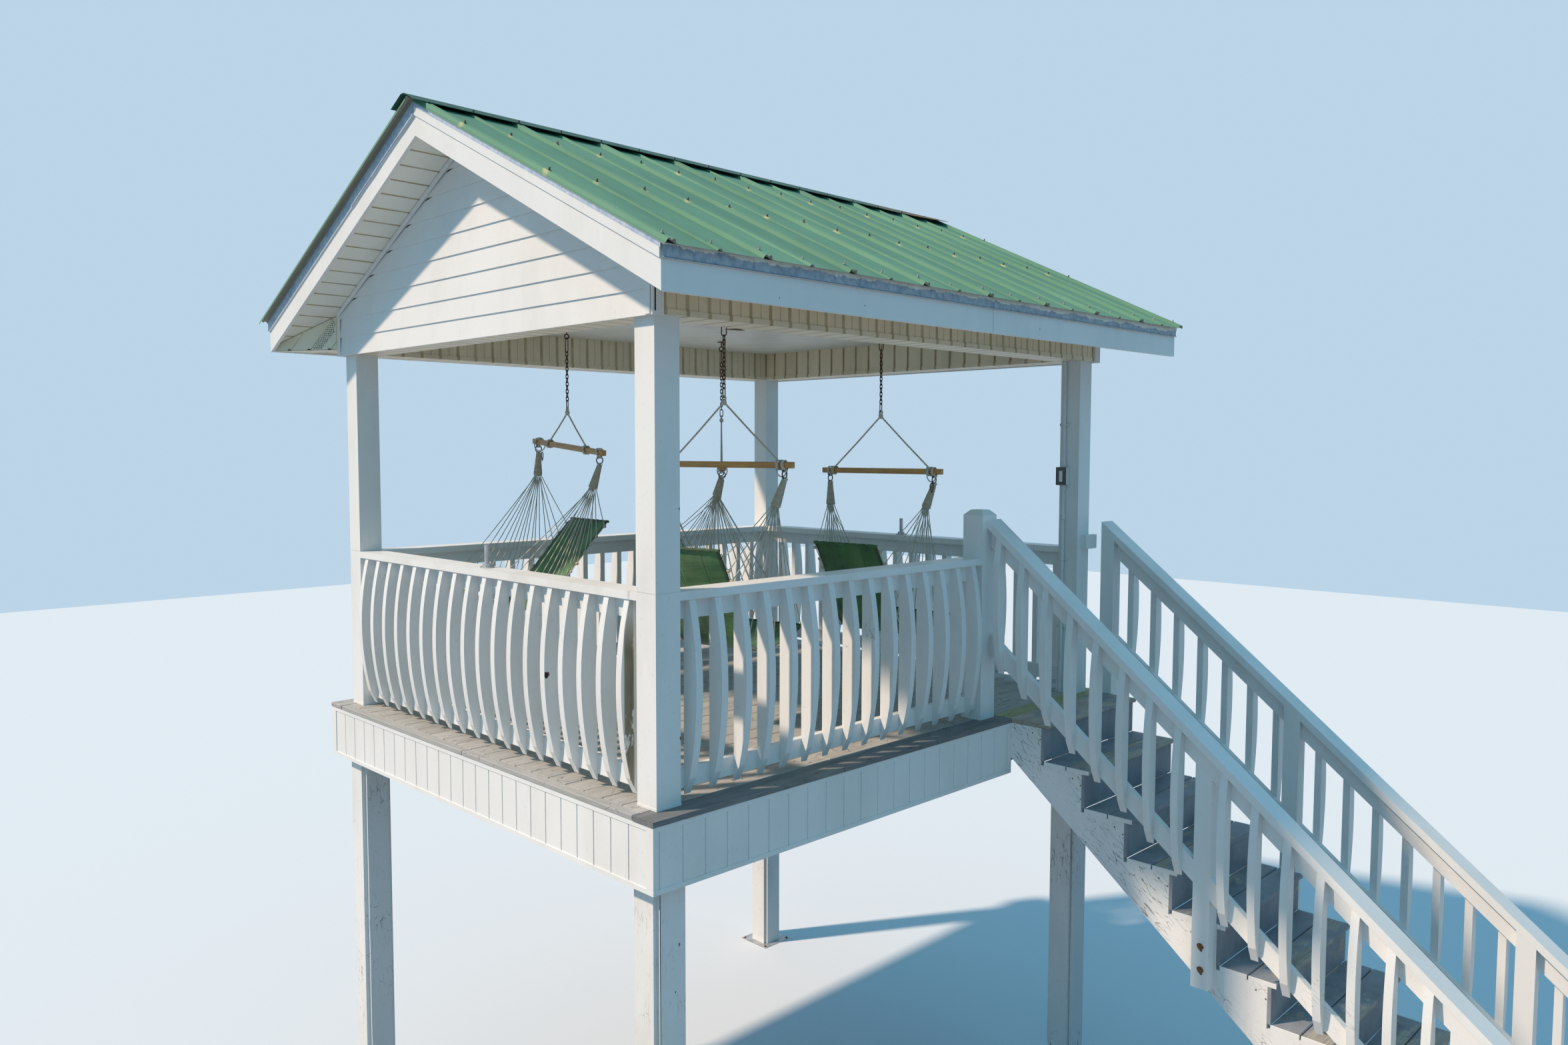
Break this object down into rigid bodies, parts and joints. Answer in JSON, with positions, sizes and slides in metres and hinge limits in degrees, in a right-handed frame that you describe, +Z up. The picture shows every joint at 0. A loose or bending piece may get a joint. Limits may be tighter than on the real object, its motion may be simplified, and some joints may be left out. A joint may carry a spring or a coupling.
{
  "type": "roofed lookout deck",
  "caption": "Square lookout deck on tall boxed legs with a metal gable roof, bowed picket railings, a straight stair and hammock chairs hung from the ceiling.",
  "frame": {"origin": "bottom centre of the overall box, on the ground level that the foot plates stand on", "axes": "+Z up, the ridge of the roof along X, the stair leading down towards -Y"},
  "size_m": [4.208, 6.7112, 5.8498],
  "materials": {
    "white_paint": "white exterior paint, satin, flaking at edges and rusty at screw heads",
    "cream_vinyl": "cream vinyl cladding with upright grooves, satin",
    "weathered_wood": "bare softwood gone grey, dry and matt",
    "grey_paint": "blue-grey porch paint, worn through on the treads",
    "green_roof_metal": "ribbed sheet metal with faded green coating",
    "dark_green_metal": "folded sheet metal with darker green coating, rust at the far end",
    "galvanised_metal": "galvanised steel, dull with rust blooms",
    "dark_chain": "old steel chain, dark and rusty",
    "honey_wood": "varnished hardwood, honey brown",
    "tan_rope": "twisted tan rope",
    "green_cloth": "quilted outdoor canvas, forest green"
  },
  "bodies": {
    "tower": {"leg_front_left": "white_paint", "leg_front_right": "white_paint", "leg_back_left": "white_paint", "leg_back_right": "white_paint", "foot_plates": "galvanised_metal", "deck_frame": "weathered_wood", "deck_boards": "weathered_wood", "skirt_front": "white_paint", "skirt_back": "white_paint", "skirt_left": "white_paint", "skirt_right": "white_paint", "post_front_left": "white_paint", "post_front_right": "white_paint", "post_back_left": "white_paint", "post_back_right": "white_paint", "beam_front": "cream_vinyl", "beam_back": "cream_vinyl", "beam_left": "cream_vinyl", "beam_right": "cream_vinyl", "ceiling": "white_paint", "gable_left": "white_paint", "gable_right": "white_paint", "roof_frame": "weathered_wood", "roof_front": "green_roof_metal", "roof_back": "green_roof_metal", "ridge_cap": "dark_green_metal", "eave_fascias": "white_paint", "rake_fascias": "white_paint", "soffits": "cream_vinyl", "railing_front": "white_paint", "railing_back": "white_paint", "railing_left": "white_paint", "railing_right": "white_paint", "newel": "white_paint", "stringers": "white_paint", "stair_treads": "grey_paint", "stair_risers": "grey_paint", "stair_posts": "white_paint", "stair_rail_left": "white_paint", "stair_rail_right": "white_paint", "conduit": "white_paint", "pipe_stubs": "galvanised_metal", "ceiling_hooks": "dark_chain"},
    "chair_front_left": {"chair_front_left_chain": "dark_chain", "chair_front_left_bar": "honey_wood", "chair_front_left_ropes": "tan_rope", "chair_front_left_sling": "green_cloth"},
    "chair_front_right": {"chair_front_right_chain": "dark_chain", "chair_front_right_bar": "honey_wood", "chair_front_right_ropes": "tan_rope", "chair_front_right_sling": "green_cloth"},
    "chair_back_left": {"chair_back_left_chain": "dark_chain", "chair_back_left_bar": "honey_wood", "chair_back_left_ropes": "tan_rope", "chair_back_left_sling": "green_cloth"},
    "chair_back_right": {"chair_back_right_chain": "dark_chain", "chair_back_right_bar": "honey_wood", "chair_back_right_ropes": "tan_rope", "chair_back_right_sling": "green_cloth"}
  },
  "joints": [
    {"name": "chair_front_left_swing", "type": "hinge", "parent": "tower", "child": "chair_front_left", "pos_m": [-0.605, 0.73338, 4.8293], "axis": [0.2079, -0.9781, 0], "range_deg": [-6, 6]},
    {"name": "chair_front_right_swing", "type": "hinge", "parent": "tower", "child": "chair_front_right", "pos_m": [0.665, 0.69338, 4.8293], "axis": [0.0872, -0.9962, 0], "range_deg": [-6, 6]},
    {"name": "chair_back_left_swing", "type": "hinge", "parent": "tower", "child": "chair_back_left", "pos_m": [-0.605, 2.23338, 4.8293], "axis": [0.0872, 0.9962, 0], "range_deg": [-6, 6]},
    {"name": "chair_back_right_swing", "type": "hinge", "parent": "tower", "child": "chair_back_right", "pos_m": [0.675, 2.19338, 4.8293], "axis": [-0.6561, -0.7547, 0], "range_deg": [-6, 6]}
  ]
}
